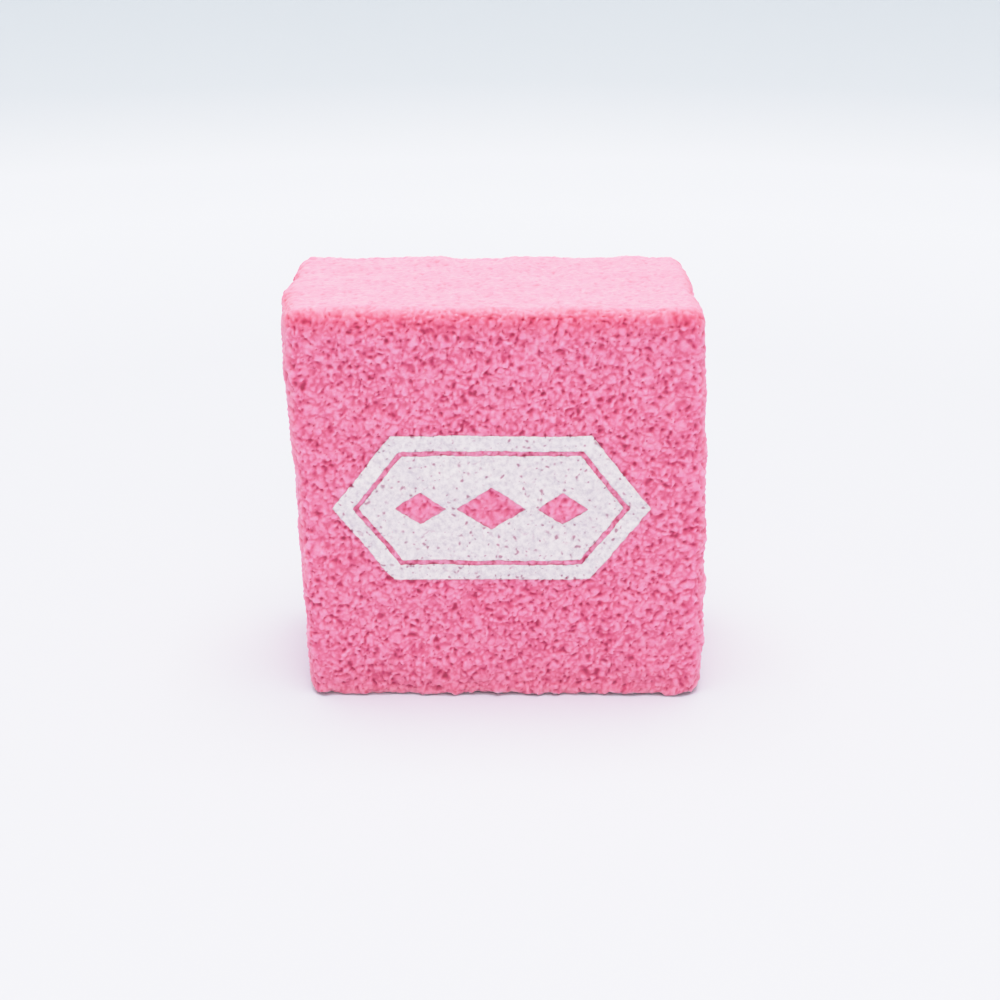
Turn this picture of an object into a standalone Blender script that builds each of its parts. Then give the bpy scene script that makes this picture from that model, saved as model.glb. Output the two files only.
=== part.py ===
"""A square crumb-textured rubbing block with a printed emblem on its front face.

The block stands on its bottom face. +Z is up, the printed face looks along -Y, and the origin is
the centre of the bottom face. All lengths are in metres.
"""

from math import cos, pi, radians, sin

import bpy
from mathutils import Matrix

# The block
BLOCK_WIDTH = 0.050
BLOCK_DEPTH = 0.028
BLOCK_HEIGHT = 0.051
EDGE_RADIUS = 0.0018
EDGE_SEGMENTS = 4

# The ink, which is drawn thicker than a real film and held just clear of the face
INK_THICKNESS = 0.0002
INK_GAP = 0.0003

# The emblem: a long hexagon, its border band, a fine line of bare block, and a panel with diamonds.
# POINT_ANGLE is half the angle between the two edges that meet in the left or right point.
EMBLEM_WIDTH = 0.0394
EMBLEM_HEIGHT = 0.0190
EMBLEM_CENTRE_X = -0.0010
EMBLEM_CENTRE_Z = 0.0257
POINT_ANGLE = radians(52.0)
BORDER_BAND = 0.0020
KEYLINE = 0.0006
DIAMOND_PITCH = 0.0088
DIAMOND_WIDTH = 0.0064
DIAMOND_HEIGHT = 0.0042
CENTRE_DIAMOND_SCALE = 1.35

# Colours as linear RGB
PINK = (0.87, 0.22, 0.38)
WHITE = (0.86, 0.86, 0.90)


def clear_scene():
    """Removes every object, so that the file holds only this model."""
    for old in list(bpy.data.objects):
        bpy.data.objects.remove(old, do_unlink=True)


def new_collection(name):
    """Returns a new collection, linked to the scene."""
    collection = bpy.data.collections.new(name)
    bpy.context.scene.collection.children.link(collection)
    return collection


def material(name, colour, roughness):
    """Returns a Principled material with a plain colour."""
    made = bpy.data.materials.new(name)
    made.use_nodes = True
    shader = made.node_tree.nodes["Principled BSDF"]
    shader.inputs["Base Color"].default_value = (*colour, 1.0)
    shader.inputs["Roughness"].default_value = roughness
    shader.inputs["Metallic"].default_value = 0.0
    made.diffuse_color = (*colour, 1.0)
    return made


def crumb_block(collection, surface):
    """The block itself: a box with all its edges rounded, standing on the ground plane."""
    bpy.ops.mesh.primitive_cube_add(size=1.0)
    block = bpy.context.object
    block.name = "crumb_block"
    block.data.name = "crumb_block"
    block.data.transform(Matrix.Diagonal((BLOCK_WIDTH, BLOCK_DEPTH, BLOCK_HEIGHT, 1.0)))
    block.location = (0.0, 0.0, BLOCK_HEIGHT / 2)
    bevel = block.modifiers.new("rounded_edges", "BEVEL")
    bevel.width = EDGE_RADIUS
    bevel.segments = EDGE_SEGMENTS
    bevel.limit_method = "NONE"
    block.data.shade_smooth()
    block.data.set_sharp_from_angle(angle=radians(60.0))
    block.data.materials.append(surface)
    for old in block.users_collection:
        old.objects.unlink(block)
    collection.objects.link(block)
    return block


def hexagon(inset):
    """The emblem's long hexagon, with its points left and right, moved in by a distance."""
    half_height = EMBLEM_HEIGHT / 2 - inset
    point = EMBLEM_WIDTH / 2 - inset / sin(POINT_ANGLE)
    shoulder = point - half_height * cos(POINT_ANGLE) / sin(POINT_ANGLE)
    return [
        (point, 0.0),
        (shoulder, half_height),
        (-shoulder, half_height),
        (-point, 0.0),
        (-shoulder, -half_height),
        (shoulder, -half_height),
    ]


def diamond(centre_x, scale):
    """A diamond-shaped window in the emblem's panel."""
    half_width = DIAMOND_WIDTH * scale / 2
    half_height = DIAMOND_HEIGHT * scale / 2
    return [
        (centre_x + half_width, 0.0),
        (centre_x, half_height),
        (centre_x - half_width, 0.0),
        (centre_x, -half_height),
    ]


def ink_plate(name, outlines, collection, ink):
    """A thin plate in front of the block's face, with the first outline's edge and the rest as holes."""
    curve = bpy.data.curves.new(name, "CURVE")
    curve.dimensions = "2D"
    curve.fill_mode = "BOTH"
    curve.extrude = INK_THICKNESS / 2
    for outline in outlines:
        spline = curve.splines.new("POLY")
        spline.points.add(len(outline) - 1)
        for point, (x, y) in zip(spline.points, outline):
            point.co = (x, y, 0.0, 1.0)
        spline.use_cyclic_u = True
    curve.materials.append(ink)
    plate = bpy.data.objects.new(name, curve)
    plate.rotation_euler = (pi / 2, 0.0, 0.0)
    centre_y = -BLOCK_DEPTH / 2 - INK_GAP - INK_THICKNESS / 2
    plate.location = (EMBLEM_CENTRE_X, centre_y, EMBLEM_CENTRE_Z)
    collection.objects.link(plate)
    return plate


def print_border(collection, ink):
    """The emblem's outer band."""
    return ink_plate("print_border", [hexagon(0.0), hexagon(BORDER_BAND)], collection, ink)


def print_panel(collection, ink):
    """The emblem's inner panel, with a row of diamond windows."""
    windows = [
        diamond(side * DIAMOND_PITCH, 1.0 if side else CENTRE_DIAMOND_SCALE)
        for side in (-1, 0, 1)
    ]
    outer = hexagon(BORDER_BAND + KEYLINE)
    return ink_plate("print_panel", [outer, *windows], collection, ink)


def main():
    """Builds the block and its two islands of ink."""
    clear_scene()
    parts = new_collection("rubbing_block")
    crumb = material("crumb_pink", PINK, 0.85)
    ink = material("ink_white", WHITE, 0.7)
    crumb_block(parts, crumb)
    print_border(parts, ink)
    print_panel(parts, ink)


main()
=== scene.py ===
"""The looks of a pink rubbing block of bonded crumb, with a white emblem printed on its front face.

The block's skin is built as what it is: small round grains packed at random and pushed nearly flush by a
mould, so that they stand side by side with creases and open pores between them. The emblem is a thin
film of ink that bridges the creases and breaks open over the deepest pits. Lengths are in metres.
"""

import itertools
import math

import bpy
import numpy as np
from mathutils import Euler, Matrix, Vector


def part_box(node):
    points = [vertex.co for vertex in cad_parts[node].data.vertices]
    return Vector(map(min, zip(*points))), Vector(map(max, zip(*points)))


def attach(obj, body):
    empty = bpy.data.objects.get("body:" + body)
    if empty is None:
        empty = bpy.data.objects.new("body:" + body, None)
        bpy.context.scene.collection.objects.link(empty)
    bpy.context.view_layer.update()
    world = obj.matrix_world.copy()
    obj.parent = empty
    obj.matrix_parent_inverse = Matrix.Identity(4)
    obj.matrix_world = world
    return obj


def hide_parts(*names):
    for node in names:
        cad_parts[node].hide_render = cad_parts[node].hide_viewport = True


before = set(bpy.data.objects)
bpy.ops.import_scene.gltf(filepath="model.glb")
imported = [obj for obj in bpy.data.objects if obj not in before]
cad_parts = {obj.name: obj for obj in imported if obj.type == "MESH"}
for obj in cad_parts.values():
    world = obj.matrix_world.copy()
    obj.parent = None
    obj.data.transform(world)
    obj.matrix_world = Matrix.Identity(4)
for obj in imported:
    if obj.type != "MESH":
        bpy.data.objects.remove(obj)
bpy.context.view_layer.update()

MM = 0.001
WHITE = (1.0, 1.0, 1.0)

# The block, as CAD makes it
BLOCK_LOW, BLOCK_HIGH = (np.array(corner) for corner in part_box("crumb_block"))
BLOCK_MIDDLE = (BLOCK_LOW + BLOCK_HIGH) / 2
EDGE_RADIUS = 1.8 * MM
FACE_SIZE = 0.16 * MM

# How the real block is out of true: it leans, its sides stand out, and its back edge is raised
LEAN = -0.030
SWELL_LEFT = 0.30 * MM
SWELL_RIGHT = 0.75 * MM
SWELL_UPPER_LEFT = 1.30 * MM
BACK_RISE = 0.25 * MM

# The bottom front edge, which has spread unevenly and stands a little off the floor
FOOT_SPREAD = 0.80 * MM
FOOT_UNEVEN = 0.65
FOOT_UNEVEN_SIZE = 1.3 * MM
HEEL_LIFT = 0.40 * MM
HEEL_UNEVEN = 1.3
HEEL_UNEVEN_SIZE = 0.9 * MM

# The grains of crumb: how far apart they lie, their least and most radius, their lowest and highest top
COARSE = {
    "pitch": 0.80 * MM,
    "radii": (0.15 * MM, 0.32 * MM),
    "tops": (-0.20 * MM, 0.10 * MM),
    "seed": 1,
}
FINE = {
    "pitch": 0.43 * MM,
    "radii": (0.075 * MM, 0.17 * MM),
    "tops": (-0.33 * MM, -0.02 * MM),
    "seed": 101,
}

# How far grains and pores stray, in cells, and how far outside the block a grain's centre may be, in radii
LATTICE_JITTER = 0.95
GRAIN_OUTSIDE = 0.2

# How the grains fuse: the floor of the gaps, the width of a seam, what lifts them flush, and the relief left
DEEPEST = 0.42 * MM
BLEND = 0.085 * MM
GRAIN_LIFT = 0.07 * MM
RELIEF = 0.68

# The noises that bend and curl the grains out of round, roughen them, and make the whole block wavy
BEND_SIZE = 1.2 * MM
BEND = 0.28 * MM
CURL_SIZE = 0.50 * MM
CURL = 0.085 * MM
ROUGH_SIZE = 0.30 * MM
ROUGH = 0.060 * MM
SWAY_SIZE = 3.6 * MM
SWAY = 0.30 * MM

# How much flatter than the front the top, the bottom and the sides are
SKIN_FLATNESS = 0.50
SIDE_SKIN = 0.50

# The open pores, whose radii are the least, the middle and the most
PORE_PITCH = 0.88 * MM
PORE_RADII = (0.05 * MM, 0.13 * MM, 0.32 * MM)
PORE_DEPTH = 0.40 * MM

# The redder band under the top edges, which stands for light glowing through the crumb
RIM_PLACE = 0.9 * MM
RIM_REACH = 2.8 * MM

# Painted shade: the slightly darker band along the foot, next to the floor
FOOT_SHADE_BAND = 4.5 * MM

# The seed of each noise and lattice. A lattice uses the next few as well: three place what is in the cell,
# and RADIUS_DRAW and TOP_DRAW past its seed come its radius and, for a grain, its highest top.
RADIUS_DRAW = 3
TOP_DRAW = 5
BEND_SEED = 11
CURL_SEED = 14
ROUGH_SEED = 21
SWAY_SEED = 31
RAGGED_SEED = 41
PORE_SEED = 51
FOOT_SEED = 61
HEEL_SEED = 71

# The emblem, whose outlines repeat CAD's
EMBLEM_LOW, EMBLEM_HIGH = (np.array(corner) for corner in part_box("print_border"))
PANEL_LOW, PANEL_HIGH = (np.array(corner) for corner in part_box("print_panel"))
EMBLEM_MIDDLE = (EMBLEM_LOW + EMBLEM_HIGH) / 2
EMBLEM_HALF = (EMBLEM_HIGH - EMBLEM_LOW) / 2
PANEL_INSET = EMBLEM_HALF[2] - (PANEL_HIGH - PANEL_LOW)[2] / 2
POINT_ANGLE = math.radians(52.0)
KEYLINE = 0.6 * MM
DIAMOND_PITCH = 8.8 * MM
DIAMOND_WIDTH = 6.4 * MM
DIAMOND_HEIGHT = 4.2 * MM
CENTRE_DIAMOND_SCALE = 1.35

# The ink, and how it has pressed the crumb under it
PRESSED_HEIGHT = 0.78
PRESS_FADE = 0.8 * MM
INK_CELL = 0.12 * MM
INK_MARGIN = 12 * INK_CELL
INK_RIM_SHIFT = 0.6 * INK_CELL
NEVER_ZERO = 1e-9
INK_THICKNESS = 0.07 * MM
INK_RISE = 0.04 * MM
INK_BRIDGE = 0.36 * MM
INK_RAGGED = 0.07 * MM
INK_RAGGED_SIZE = 0.5 * MM
PINHOLE_DEPTH = 0.372 * MM
INK_DEEP_GAP = 0.30 * MM

# The crumb's colour by depth, from the tops of the grains to the bottoms of the pits, PIT_DEPTH down. The
# darker, deeper pink in the pits is partly the crumb's own colour and partly painted shade.
PIT_DEPTH = 0.42 * MM
CRUMB_COLOURS_AND_PIT_SHADE = (
    (0.05, (1.000, 0.372, 0.500)),
    (0.26, (0.930, 0.286, 0.418)),
    (0.49, (0.800, 0.174, 0.304)),
    (0.72, (0.680, 0.087, 0.204)),
    (0.95, (0.550, 0.046, 0.130)),
)

# What varies it: small spots, wide clouds, the plainer skin of the top and the sides, painted paler and
# tinted as painted light for how the light falls on them, and the two painted bands
SPOT_SCALE = 1500.0
SPOT_TINTS = ((0.32, (0.91, 0.68, 0.77)), (0.62, WHITE))
CLOUD_SCALE = 220.0
CLOUD_TINTS = ((0.3, (0.98, 0.94, 0.95)), (0.7, WHITE))
PAINTED_LIGHT_PINK = (1.0, 0.315, 0.445)
CRUMB_SHARES = ((0.15, WHITE), (0.85, (0.48, 0.48, 0.48)))
PAINTED_LIGHT_TINTS = ((0.05, (1.0, 0.97, 1.0)), (0.25, (1.0, 1.05, 1.0)), (0.90, (1.0, 0.910, 0.830)))
RIM_GLOW_TINTS = ((0.0, WHITE), (1.0, (1.0, 0.70, 0.72)))
FOOT_SHADE_TINTS = ((0.0, WHITE), (1.0, (0.88, 0.83, 0.84)))
CRUMB_FINISH = {
    "Roughness": 0.70,
    "Specular IOR Level": 0.50,
    "Sheen Weight": 0.30,
    "Sheen Tint": (1.0, 0.70, 0.76, 1.0),
    "Sheen Roughness": 0.45,
    "Subsurface Weight": 1.0,
    "Subsurface Radius": (0.60, 0.40, 0.45),
    "Subsurface Scale": 1.6 * MM,
}
CRUMB_GRIT = {"scale": 5200.0, "roughness": 0.65, "strength": 0.60, "height": 0.06 * MM}

# The ink's whites, its pink tinge and painted shade by the depth of what it spans, and its finish
MOTTLE_SCALE = 1500.0
INK_WHITES = ((0.32, (0.560, 0.512, 0.530)), (0.60, (0.765, 0.700, 0.694)))
GAP_TINGES_AND_SHADE = ((0.36, WHITE), (0.58, (0.89, 0.82, 0.85)), (0.85, (0.62, 0.38, 0.46)))
INK_FINISH = {"Roughness": 0.72, "Specular IOR Level": 0.3}
INK_GRIT = {"scale": 4200.0, "roughness": 0.6, "strength": 0.85, "height": 0.05 * MM}

# The room: a white bowl open at the top, so that every side has the same plain background
BOWL_FLOOR = 330 * MM
BOWL_CURVE = 260 * MM
BOWL_HEIGHT = 900 * MM
BOWL_SIDES = 128
BOWL_FLOOR_STEPS = 8
BOWL_CURVE_STEPS = 24

# Its paper, shaded from the near end of PAPER_FADE, measured from the origin, to the far end: darker near
# the block, and greyer and bluer towards the rim, which is painted shade for the light falling off
PAPER_FADE = (150 * MM, 800 * MM)
PAPER_PAINTED_SHADES = (
    (0.0, (0.680, 0.692, 0.770)),
    (0.21, (0.800, 0.820, 0.905)),
    (0.32, (0.780, 0.805, 0.890)),
    (0.42, (0.560, 0.600, 0.655)),
    (0.60, (0.434, 0.478, 0.506)),
    (1.0, (0.540, 0.555, 0.570)),
)
PAPER_CLOUD_SCALE = 6.0
PAPER_CLOUD_TINTS = ((0.3, (0.988, 0.988, 0.988)), (0.7, WHITE))
PAPER_FINISH = {"Roughness": 0.9, "Specular IOR Level": 0.1}

# The light, whose front lamp is slightly pink
WORLD_COLOUR = (0.96, 0.96, 0.99, 1.0)
WORLD_STRENGTH = 1.45
TOP_LIGHT = {
    "place": (0.0, 0.05, 0.75),
    "target": (0.0, 0.0, 0.0),
    "size": 0.5,
    "power": 4.60,
    "colour": (1.0, 0.99, 0.98),
}
FRONT_LIGHT = {
    "place": (0.04, -0.55, 0.35),
    "target": (0.0, 0.0, 0.02),
    "size": 0.4,
    "power": 1.98,
    "colour": (1.0, 0.86, 0.84),
}

# The film curve: the brightness in the scene and the brightness shown, up to FILM_WHITE, shown as FILM_TOP
FILM_WHITE = 2.4
FILM_TOP = 0.995
FILM_CURVE = (
    (0.3, 0.3),
    (0.6, 0.595),
    (0.8, 0.765),
    (1.0, 0.86),
    (1.25, 0.922),
    (1.6, 0.970),
    (2.0, 0.988),
)

# The camera
CAMERA_LENS = 63.9
CAMERA_SENSOR = 36.0
CAMERA_PITCH = math.radians(21.14)
CAMERA_DISTANCE = 219.4 * MM
AIM_RIGHT = 0.06 * MM
AIM_UP = 1.30 * MM
NEAREST_SEEN = 10 * MM
FARTHEST_SEEN = 10.0

# Where Blender's Mix node keeps its factor and its colours
MIX_FACTOR = 0
MIX_FIRST = 6
MIX_SECOND = 7
MIX_RESULT = 2


def lattice_hash(cells, seed):
    """A repeatable number from 0 to 1 for each whole-number cell, by the usual mixing of its bits."""
    bits = cells[..., 0] * 73856093 ^ cells[..., 1] * 19349663 ^ cells[..., 2] * 83492791
    bits = (bits ^ seed * 2654435761) & 0xFFFFFFFF
    bits = (bits ^ bits >> 15) * 0x2C1B3C6D & 0xFFFFFFFF
    bits = (bits ^ bits >> 12) * 0x297A2D39 & 0xFFFFFFFF
    return (bits ^ bits >> 15) / 0xFFFFFFFF


def smooth_noise(points, size, seed):
    """Smooth noise from -1 to 1, whose lumps are about size metres across."""
    cells = np.floor(points / size).astype(np.int64)
    part = points / size - cells
    part = part**3 * (part * (part * 6 - 15) + 10)
    total = np.zeros(len(points))
    for corner in itertools.product((0, 1), repeat=3):
        weight = np.prod(np.where(corner, part, 1 - part), axis=1)
        total += weight * lattice_hash(cells + corner, seed)
    return total * 2 - 1


def noise_vectors(points, size, seed):
    """Three smooth noises side by side."""
    return np.stack([smooth_noise(points, size, seed + axis) for axis in range(3)], axis=1)


def lattice_cells(points, pitch, seed):
    """The 27 cells round each point, one after another, each with the centre of the grain or pore in it."""
    home = np.floor(points / pitch).astype(np.int64)
    for step in itertools.product((-1, 0, 1), repeat=3):
        cell = home + step
        shift = np.stack([lattice_hash(cell, seed + axis) for axis in range(3)], axis=1)
        yield cell, (cell + 0.5 + LATTICE_JITTER * (shift - 0.5)) * pitch


def squared_distance_across(offset, normals):
    """How far each offset goes sideways from the normal, squared."""
    return np.sum(offset**2, axis=1) - np.sum(offset * normals, axis=1) ** 2


def bent_points(points):
    """The points, shifted by noise so that the grains looked up with them are out of round."""
    bend = BEND * noise_vectors(points, BEND_SIZE, BEND_SEED)
    curl = CURL * noise_vectors(points, CURL_SIZE, CURL_SEED)
    return points + bend + curl


def grain_height(points, bent, normals):
    """How high the grains stand at each point, each a rounded cap that blends softly into the others.

    A lattice cell holds one grain. Grains whose centre is outside the block are left out, and those that
    would stand out of it have been pushed in by the mould until they are nearly flush.
    """
    total = np.full(len(points), math.exp(-DEEPEST / BLEND))
    for grains in (COARSE, FINE):
        for cell, centre in lattice_cells(bent, grains["pitch"], grains["seed"]):
            radius = np.interp(lattice_hash(cell, grains["seed"] + RADIUS_DRAW), (0, 1), grains["radii"])
            highest = np.interp(lattice_hash(cell, grains["seed"] + TOP_DRAW), (0, 1), grains["tops"])
            level = np.sum((centre - points) * normals, axis=1)
            crown = np.minimum(level + radius, highest)
            drop = squared_distance_across(centre - bent, normals) / (2 * radius)
            total += np.where(level < GRAIN_OUTSIDE * radius, np.exp((crown - drop) / BLEND), 0)
    return BLEND * np.log(total) + GRAIN_LIFT


def pore_share(points, bent, normals):
    """How open the surface is at each point: 0 where there is no pore, and 1 in the middle of one."""
    closed = np.ones(len(points))
    for cell, centre in lattice_cells(bent, PORE_PITCH, PORE_SEED):
        radius = np.interp(lattice_hash(cell, PORE_SEED + RADIUS_DRAW), (0, 0.5, 1), PORE_RADII)
        level = np.sum((centre - points) * normals, axis=1)
        near = np.exp(-squared_distance_across(centre - bent, normals) / radius**2)
        closed *= 1 - np.where(np.abs(level) < PORE_PITCH / 2, near, 0)
    return 1 - closed


def crumb_height(points, normals):
    """How high the crumb stands over each point of the smooth block."""
    bent = bent_points(points)
    height = grain_height(points, bent, normals)
    height += ROUGH * smooth_noise(points, ROUGH_SIZE, ROUGH_SEED)
    return RELIEF * (height - PORE_DEPTH * pore_share(points, bent, normals))


def pressing(points):
    """The share of the crumb's height that is left: less where the print has pressed the front face."""
    x, _, z = (points - EMBLEM_MIDDLE).T
    outside = long_hexagon(x, z, EMBLEM_HALF[0], EMBLEM_HALF[2])
    printed = np.clip(0.5 - outside / PRESS_FADE, 0, 1) * (points[:, 1] < 0)
    return 1 - (1 - PRESSED_HEIGHT) * printed


def sway(points):
    """The block's own slow unevenness."""
    return SWAY * smooth_noise(points, SWAY_SIZE, SWAY_SEED)


def foot(points, normals):
    """How far the bottom front edge has spread: most where it faces halfway down, where 4 a^2 d^2 is 1."""
    ahead = np.clip(-normals[:, 1], 0, 1)
    down = np.clip(-normals[:, 2], 0, 1)
    uneven = 1 + FOOT_UNEVEN * smooth_noise(points, FOOT_UNEVEN_SIZE, FOOT_SEED)
    return FOOT_SPREAD * uneven * 4 * ahead**2 * down**2


def lowest(points, normals):
    """How low each point may reach: the floor underneath, and a little above it along the front edge."""
    ahead = np.clip(-normals[:, 1], 0, 1)
    uneven = 1 + HEEL_UNEVEN * smooth_noise(points, HEEL_UNEVEN_SIZE, HEEL_SEED)
    return BLOCK_LOW[2] + HEEL_LIFT * ahead * np.maximum(uneven, 0)


def out_of_true(points):
    """Points moved as the block leans and swells, and as its top rises towards the back.

    The even powers are 0 halfway across, back or up and 1 at both ends, and a higher one is flat for longer.
    """
    across, back, up = ((points - BLOCK_LOW) / (BLOCK_HIGH - BLOCK_LOW)).T
    near_side = (2 * across - 1) ** 8
    up_bow = 1 - np.clip(2 * up - 1, -1, 1) ** 6
    back_bow = 1 - np.clip(2 * back - 1, -1, 1) ** 2
    left = SWELL_LEFT * up_bow + SWELL_UPPER_LEFT * back_bow * up**2
    moved = points.copy()
    moved[:, 0] += near_side * np.where(across > 0.5, SWELL_RIGHT * up_bow, -left)
    moved[:, 0] += LEAN * (points[:, 2] - BLOCK_MIDDLE[2])
    moved[:, 2] += BACK_RISE * back * up
    return moved


def new_object(name, mesh):
    """Links a new object with this mesh to the scene."""
    made = bpy.data.objects.new(name, mesh)
    bpy.context.scene.collection.objects.link(made)
    return made


def read_points(mesh):
    """A mesh's vertex positions as an array."""
    flat = np.empty(len(mesh.vertices) * 3)
    mesh.vertices.foreach_get("co", flat)
    return flat.reshape(-1, 3)


def write_points(mesh, points):
    """Moves a mesh's vertices to these positions."""
    mesh.vertices.foreach_set("co", points.ravel())
    mesh.update()


def write_attribute(mesh, name, values):
    """Stores one number for each vertex."""
    mesh.attributes.new(name, "FLOAT", "POINT").data.foreach_set("value", values)


def even_faces(source):
    """A copy of a mesh in small even faces."""
    rough = new_object("rough", source.copy())
    remesh = rough.modifiers.new("even_faces", "REMESH")
    remesh.mode = "VOXEL"
    remesh.voxel_size = FACE_SIZE
    graph = bpy.context.evaluated_depsgraph_get()
    mesh = bpy.data.meshes.new_from_object(rough.evaluated_get(graph), depsgraph=graph)
    bpy.data.objects.remove(rough)
    return mesh


def rounded_block(points):
    """The points put exactly onto the smooth block, and the directions that it faces there."""
    core = np.clip(points, BLOCK_LOW + EDGE_RADIUS, BLOCK_HIGH - EDGE_RADIUS)
    normals = points - core
    normals /= np.linalg.norm(normals, axis=1, keepdims=True)
    return core + EDGE_RADIUS * normals, normals


def crumb_body():
    """The block: CAD's smooth body in small even faces, with the crumb raised on it."""
    mesh = even_faces(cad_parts["crumb_block"].data)
    mesh.name = "crumb_body"
    points, normals = rounded_block(read_points(mesh))
    points += normals * foot(points, normals)[:, None]
    # How much a point faces up, down or sideways: it flattens the skin there, and in the material it carries
    # the painted light on the top and the sides
    skin_and_painted_light = normals[:, 2] ** 2 + SIDE_SKIN * normals[:, 0] ** 2
    height = crumb_height(points, normals) * (1 - SKIN_FLATNESS * skin_and_painted_light) * pressing(points)
    raised = points + normals * (height + sway(points))[:, None]
    raised[:, 2] = np.maximum(raised[:, 2], lowest(points, normals))
    write_points(mesh, out_of_true(raised))
    # The rim band: a painted glow, redder under the top edges, standing for light from above coming through
    # the crumb
    from_rim = np.abs(BLOCK_HIGH[2] - RIM_PLACE - points[:, 2])
    rim = np.clip(1 - from_rim / RIM_REACH, 0, 1) * (1 - normals[:, 2] ** 4)
    # pit: how deep a point lies, which darkens the crumb in the pits, partly as painted shade
    write_attribute(mesh, "pit", np.clip(-height / PIT_DEPTH, 0, 1))
    write_attribute(mesh, "skin_and_painted_light", skin_and_painted_light)
    write_attribute(mesh, "rim", rim)
    # The foot band: painted shade, darker towards the bottom of the block
    write_attribute(mesh, "foot", np.clip(1 - points[:, 2] / FOOT_SHADE_BAND, 0, 1))
    mesh.shade_smooth()
    return new_object("crumb_body", mesh)


def long_hexagon(x, z, half_width, half_height):
    """Distance outside (or, if negative, inside) a long hexagon with its points left and right."""
    slant = (math.sin(POINT_ANGLE), math.cos(POINT_ANGLE))
    flats = np.abs(z) - half_height
    slants = np.abs(x) * slant[0] + np.abs(z) * slant[1] - half_width * slant[0]
    return np.maximum(flats, slants)


def diamonds(x, z):
    """Distance outside the nearest of the panel's three diamond windows."""
    nearest = np.full(x.shape, np.inf)
    for side in (-1, 0, 1):
        scale = 1.0 if side else CENTRE_DIAMOND_SCALE
        half_width = DIAMOND_WIDTH * scale / 2
        half_height = DIAMOND_HEIGHT * scale / 2
        slope = math.hypot(half_width, half_height)
        across = np.abs(x - side * DIAMOND_PITCH) * half_height + np.abs(z) * half_width
        nearest = np.minimum(nearest, (across - half_width * half_height) / slope)
    return nearest


def shifted(grid, axis, reach):
    """Copies of a grid, shifted along one axis by each number of cells up to reach either way."""
    return [np.roll(grid, step, axis) for step in range(-reach, reach + 1)]


def spread_highest(grid, reach):
    """Each cell's highest neighbour within reach cells, in a square."""
    for axis in (0, 1):
        grid = np.maximum.reduce(shifted(grid, axis, reach))
    return grid


def averaged(grid, reach):
    """Each cell's mean over a square of cells within reach."""
    for axis in (0, 1):
        grid = np.mean(shifted(grid, axis, reach), axis=0)
    return grid


def ink_grid():
    """A fine grid over the emblem: where each point is, how high the crumb and the ink film stand there.

    The crumb is looked up on the upright block, before its lean carries it sideways.
    """
    xs = np.arange(EMBLEM_LOW[0] - INK_MARGIN, EMBLEM_HIGH[0] + INK_MARGIN, INK_CELL)
    zs = np.arange(EMBLEM_LOW[2] - INK_MARGIN, EMBLEM_HIGH[2] + INK_MARGIN, INK_CELL)
    x, z = np.meshgrid(xs, zs, indexing="ij")
    upright_x = x - LEAN * (z - BLOCK_MIDDLE[2])
    front = np.stack([upright_x, np.full(x.shape, BLOCK_LOW[1]), z], axis=-1).reshape(-1, 3)
    crumb = crumb_height(front, np.tile((0.0, -1.0, 0.0), (len(front), 1))) * pressing(front)
    crumb = crumb.reshape(x.shape)
    reach = round(INK_BRIDGE / INK_CELL)
    bridged = -spread_highest(-spread_highest(crumb, reach), reach)
    film = np.maximum(averaged(bridged, 1), averaged(crumb, 1)) + INK_RISE
    ragged = INK_RAGGED * smooth_noise(front, INK_RAGGED_SIZE, RAGGED_SEED).reshape(x.shape)
    slow = sway(front).reshape(x.shape)
    return x, z, crumb, film, slow, ragged


def kept_faces(outside):
    """The squares whose middle is inside the outline, as corner numbers, and the points on their rim."""
    centre = (outside[:-1, :-1] + outside[1:, :-1] + outside[1:, 1:] + outside[:-1, 1:]) / 4
    kept = centre < 0
    index = np.arange(outside.size).reshape(outside.shape)
    corners = [index[:-1, :-1], index[1:, :-1], index[1:, 1:], index[:-1, 1:]]
    touched = np.zeros(outside.shape, int)
    for i, j in itertools.product((0, 1), repeat=2):
        touched[i : outside.shape[0] - 1 + i, j : outside.shape[1] - 1 + j] += kept
    rim = (touched > 0) & (touched < 4)
    return np.stack([corner[kept] for corner in corners], axis=1), rim


def film_mesh(name, x, z, film, outside, gap):
    """A sheet over the grid's points whose outside distance is negative, its rim moved onto the outline.

    gap, the height of the film over the crumb, is stored for the material.
    """
    faces, rim = kept_faces(outside)
    slope_x, slope_z = np.gradient(outside, INK_CELL)
    steep = slope_x**2 + slope_z**2 + NEVER_ZERO
    step = np.clip(outside / steep, -INK_CELL, INK_CELL) * rim
    moved_x = x - np.clip(step * slope_x, -INK_RIM_SHIFT, INK_RIM_SHIFT)
    moved_z = z - np.clip(step * slope_z, -INK_RIM_SHIFT, INK_RIM_SHIFT)
    places = np.stack([moved_x, BLOCK_LOW[1] - film, moved_z], axis=-1).reshape(-1, 3)
    used, compact = np.unique(faces, return_inverse=True)
    mesh = bpy.data.meshes.new(name)
    mesh.from_pydata(places[used].tolist(), [], compact.reshape(-1, 4).tolist())
    write_attribute(mesh, "gap", gap.ravel()[used])
    mesh.shade_smooth()
    return mesh


def ink_piece(name, outside, grid):
    """One island of ink, as a thin closed film with holes over the deepest pits."""
    x, z, crumb, film, slow, ragged = grid
    pinholes = -(crumb + PINHOLE_DEPTH)
    gap = np.clip((film - crumb - INK_RISE) / INK_DEEP_GAP, 0, 1)
    mesh = film_mesh(name, x, z, film + slow, np.maximum(outside + ragged, pinholes), gap)
    piece = new_object(name, mesh)
    thicken = piece.modifiers.new("film", "SOLIDIFY")
    thicken.thickness = INK_THICKNESS
    thicken.offset = -1.0
    return piece


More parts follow.
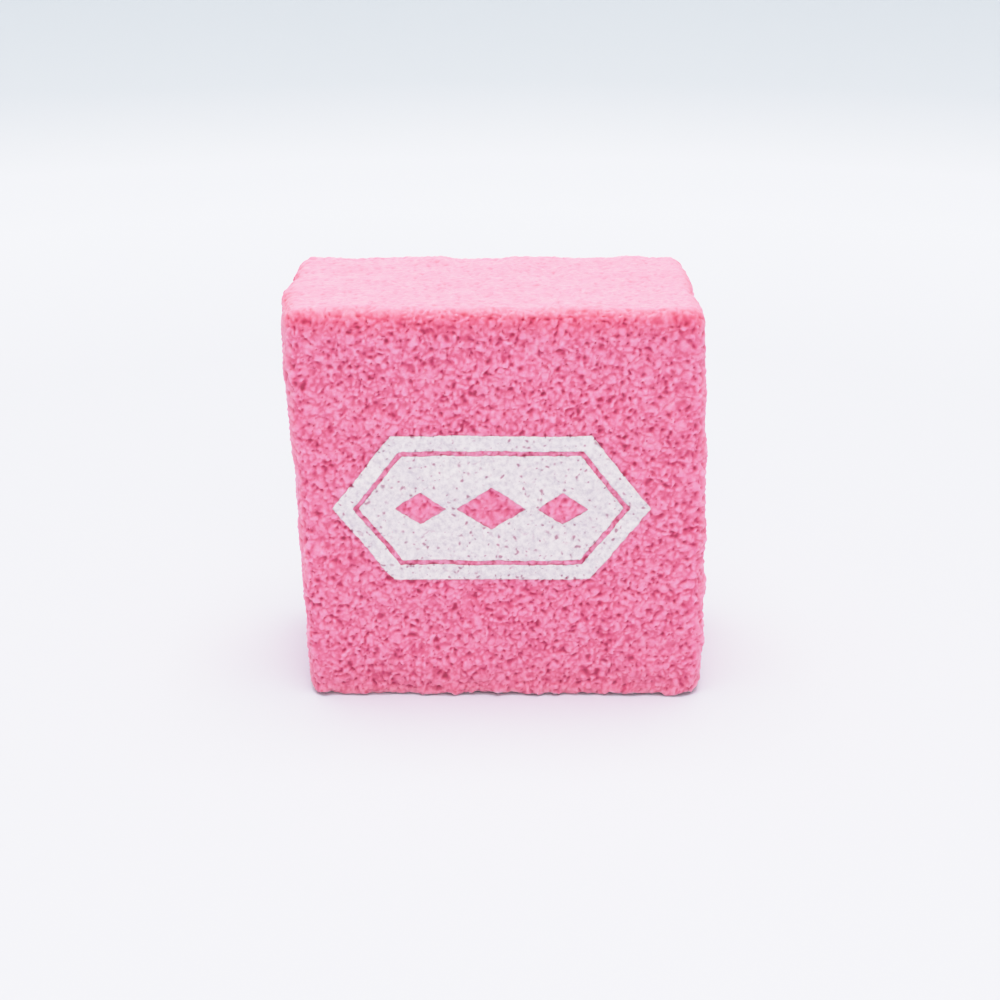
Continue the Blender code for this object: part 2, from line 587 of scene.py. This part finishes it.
def ink_pieces():
    """The emblem's border band and its panel."""
    grid = ink_grid()
    x, z = grid[0] - EMBLEM_MIDDLE[0], grid[1] - EMBLEM_MIDDLE[2]
    outer = long_hexagon(x, z, EMBLEM_HALF[0], EMBLEM_HALF[2])
    border = np.maximum(outer, -(outer + PANEL_INSET - KEYLINE))
    panel = np.maximum(outer + PANEL_INSET, -diamonds(x, z))
    return ink_piece("ink_border", border, grid), ink_piece("ink_panel", panel, grid)


def new_material(name, finish):
    """A material, its tree and its Principled shader, whose inputs named in finish are set."""
    made = bpy.data.materials.new(name)
    made.use_nodes = True
    shader = made.node_tree.nodes["Principled BSDF"]
    for socket, value in finish.items():
        shader.inputs[socket].default_value = value
    return made, made.node_tree, shader


def attribute(tree, name):
    """A number stored on the mesh's vertices."""
    made = tree.nodes.new("ShaderNodeAttribute")
    made.attribute_name = name
    return made.outputs["Fac"]


def object_noise(tree, scale, detail=3.0, roughness=0.5):
    """Noise fixed to the object's own coordinates, scale in lumps per metre."""
    place = tree.nodes.new("ShaderNodeTexCoord")
    noise = tree.nodes.new("ShaderNodeTexNoise")
    noise.inputs["Scale"].default_value = scale
    noise.inputs["Detail"].default_value = detail
    noise.inputs["Roughness"].default_value = roughness
    tree.links.new(place.outputs["Object"], noise.inputs["Vector"])
    return noise.outputs["Fac"]


def ramp(tree, source, stops):
    """A colour ramp fed by source, with (place, colour) stops."""
    made = tree.nodes.new("ShaderNodeValToRGB")
    elements = made.color_ramp.elements
    while len(elements) < len(stops):
        elements.new(0.5)
    for element, (place, colour) in zip(elements, stops):
        element.position = place
        element.color = (*colour, 1.0)
    tree.links.new(source, made.inputs["Fac"])
    return made.outputs["Color"]


def colour_mix(tree, blend):
    """A Mix node for colours."""
    made = tree.nodes.new("ShaderNodeMix")
    made.data_type = "RGBA"
    made.blend_type = blend
    return made


def multiplied(tree, first, second):
    """One colour times another."""
    made = colour_mix(tree, "MULTIPLY")
    made.inputs[MIX_FACTOR].default_value = 1.0
    tree.links.new(first, made.inputs[MIX_FIRST])
    tree.links.new(second, made.inputs[MIX_SECOND])
    return made.outputs[MIX_RESULT]


def faded(tree, colour, share, plain):
    """A colour where share is 1, going over to a plain one where it is 0."""
    made = colour_mix(tree, "MIX")
    made.inputs[MIX_FIRST].default_value = (*plain, 1.0)
    tree.links.new(share, made.inputs[MIX_FACTOR])
    tree.links.new(colour, made.inputs[MIX_SECOND])
    return made.outputs[MIX_RESULT]


def roughened(tree, shader, scale, roughness, strength, height):
    """Gives a shader a fine bump."""
    bump = tree.nodes.new("ShaderNodeBump")
    bump.inputs["Strength"].default_value = strength
    bump.inputs["Distance"].default_value = height
    tree.links.new(object_noise(tree, scale, 4.0, roughness), bump.inputs["Height"])
    tree.links.new(bump.outputs["Normal"], shader.inputs["Normal"])


def crumb_material():
    """Matte, slightly see-through pink crumb: pale on the grains and deep pink in the pits, partly painted
    shade, with painted light on the top and the sides, a painted glow under the top edges and painted shade
    along the foot.
    """
    made, tree, shader = new_material("crumb_pink", CRUMB_FINISH)
    # Darker, deeper pink in the pits: partly the crumb's own colour, partly painted shade
    colour = ramp(tree, attribute(tree, "pit"), CRUMB_COLOURS_AND_PIT_SHADE)
    colour = multiplied(tree, colour, ramp(tree, object_noise(tree, SPOT_SCALE, 4.0, 0.6), SPOT_TINTS))
    colour = multiplied(tree, colour, ramp(tree, object_noise(tree, CLOUD_SCALE), CLOUD_TINTS))
    skin_and_painted_light = attribute(tree, "skin_and_painted_light")
    # The top and the sides: painted light, a plainer, paler pink and a tint for how the light falls on them
    colour = faded(tree, colour, ramp(tree, skin_and_painted_light, CRUMB_SHARES), PAINTED_LIGHT_PINK)
    colour = multiplied(tree, colour, ramp(tree, skin_and_painted_light, PAINTED_LIGHT_TINTS))
    # Painted glow under the top edges
    colour = multiplied(tree, colour, ramp(tree, attribute(tree, "rim"), RIM_GLOW_TINTS))
    # Painted shade along the foot
    colour = multiplied(tree, colour, ramp(tree, attribute(tree, "foot"), FOOT_SHADE_TINTS))
    tree.links.new(colour, shader.inputs["Base Color"])
    roughened(tree, shader, **CRUMB_GRIT)
    return made


def ink_material():
    """Matte white ink, mottled, and tinged pink and darkened where it spans the deeper pits: the pink crumb
    showing through and painted shade of the pits.
    """
    made, tree, shader = new_material("ink_white", INK_FINISH)
    white = ramp(tree, object_noise(tree, MOTTLE_SCALE, 5.0, 0.66), INK_WHITES)
    # Pinker and darker over deep pits: the crumb showing through the thin ink, and painted shade
    tinge_and_shade = ramp(tree, attribute(tree, "gap"), GAP_TINGES_AND_SHADE)
    tree.links.new(multiplied(tree, white, tinge_and_shade), shader.inputs["Base Color"])
    roughened(tree, shader, **INK_GRIT)
    return made


def sweep_material():
    """Matte white paper, darker near the block and greyer and bluer towards its rim, where the greying is
    painted shade.
    """
    made, tree, shader = new_material("sweep_white", PAPER_FINISH)
    place = tree.nodes.new("ShaderNodeTexCoord")
    far = tree.nodes.new("ShaderNodeVectorMath")
    far.operation = "LENGTH"
    tree.links.new(place.outputs["Object"], far.inputs[0])
    reach = tree.nodes.new("ShaderNodeMapRange")
    reach.inputs["From Min"].default_value = PAPER_FADE[0]
    reach.inputs["From Max"].default_value = PAPER_FADE[1]
    tree.links.new(far.outputs["Value"], reach.inputs["Value"])
    # Painted shade by distance from the middle of the room
    shade = ramp(tree, reach.outputs["Result"], PAPER_PAINTED_SHADES)
    cloud = ramp(tree, object_noise(tree, PAPER_CLOUD_SCALE), PAPER_CLOUD_TINTS)
    tree.links.new(multiplied(tree, shade, cloud), shader.inputs["Base Color"])
    return made


def bowl_profile():
    """The bowl's section from its middle outwards: a flat floor, a quarter circle and a wall."""
    profile = [(BOWL_FLOOR * step / BOWL_FLOOR_STEPS, 0.0) for step in range(BOWL_FLOOR_STEPS)]
    for step in range(BOWL_CURVE_STEPS + 1):
        angle = math.pi / 2 * step / BOWL_CURVE_STEPS
        out = BOWL_FLOOR + BOWL_CURVE * math.sin(angle)
        profile.append((out, BOWL_CURVE * (1 - math.cos(angle))))
    profile.append((BOWL_FLOOR + BOWL_CURVE, BOWL_HEIGHT))
    return profile


def backdrop():
    """A pale floor that curves up into a wall all round, turned from one profile."""
    profile = bowl_profile()
    mesh = bpy.data.meshes.new("sweep")
    edges = [(i, i + 1) for i in range(len(profile) - 1)]
    mesh.from_pydata([(x, 0.0, z) for x, z in profile], edges, [])
    sweep = new_object("sweep", mesh)
    screw = sweep.modifiers.new("turned", "SCREW")
    screw.steps = BOWL_SIDES
    screw.render_steps = BOWL_SIDES
    screw.use_merge_vertices = True
    screw.merge_threshold = 0.01 * MM
    screw.use_smooth_shade = True
    mesh.materials.append(sweep_material())


def area_light(name, place, target, size, power, colour):
    """A soft square light at a place, turned to its target."""
    light = bpy.data.lights.new(name, "AREA")
    light.shape = "SQUARE"
    light.size = size
    light.energy = power
    light.color = colour
    lamp = bpy.data.objects.new(name, light)
    lamp.location = place
    lamp.rotation_euler = (Vector(target) - Vector(place)).to_track_quat("-Z", "Y").to_euler()
    bpy.context.scene.collection.objects.link(lamp)


def lighting():
    """A bright soft top light and a weak front one, in a white room."""
    world = bpy.data.worlds.new("studio")
    world.use_nodes = True
    background = world.node_tree.nodes["Background"]
    background.inputs["Color"].default_value = WORLD_COLOUR
    background.inputs["Strength"].default_value = WORLD_STRENGTH
    bpy.context.scene.world = world
    area_light("top_light", **TOP_LIGHT)
    area_light("front_light", **FRONT_LIGHT)


def film_curve():
    """Shows the scene through a film curve, which keeps its pale pinks and whites from clipping."""
    settings = bpy.context.scene.view_settings
    settings.view_transform = "Standard"
    settings.look = "None"
    settings.use_curve_mapping = True
    mapping = settings.curve_mapping
    mapping.white_level = (FILM_WHITE,) * 3
    curve = mapping.curves[3]
    for light, shown in FILM_CURVE:
        curve.points.new(light / FILM_WHITE, shown)
    curve.points[-1].location = (1.0, FILM_TOP)
    mapping.update()


def camera():
    """The camera, looking slightly down on the printed face."""
    made = bpy.data.cameras.new("camera")
    made.lens = CAMERA_LENS
    made.sensor_width = CAMERA_SENSOR
    made.clip_start = NEAREST_SEEN
    made.clip_end = FARTHEST_SEEN
    holder = bpy.data.objects.new("camera", made)
    turn = Euler((math.pi / 2 - CAMERA_PITCH, 0.0, 0.0))
    face = Vector((0.0, BLOCK_LOW[1], BLOCK_MIDDLE[2]))
    axes = turn.to_matrix()
    aim = face + axes @ Vector((AIM_RIGHT, AIM_UP, 0.0))
    holder.location = aim + axes @ Vector((0.0, 0.0, CAMERA_DISTANCE))
    holder.rotation_euler = turn
    bpy.context.scene.collection.objects.link(holder)
    bpy.context.scene.camera = holder


def main():
    """Builds the pieces, their materials and the room."""
    body = crumb_body()
    body.data.materials.clear()
    body.data.materials.append(crumb_material())
    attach(body, "root")
    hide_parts("crumb_block")
    ink = ink_material()
    border, panel = ink_pieces()
    for piece, cad_node in ((border, "print_border"), (panel, "print_panel")):
        piece.data.materials.append(ink)
        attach(piece, "root")
        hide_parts(cad_node)
    backdrop()
    lighting()
    film_curve()
    camera()


main()
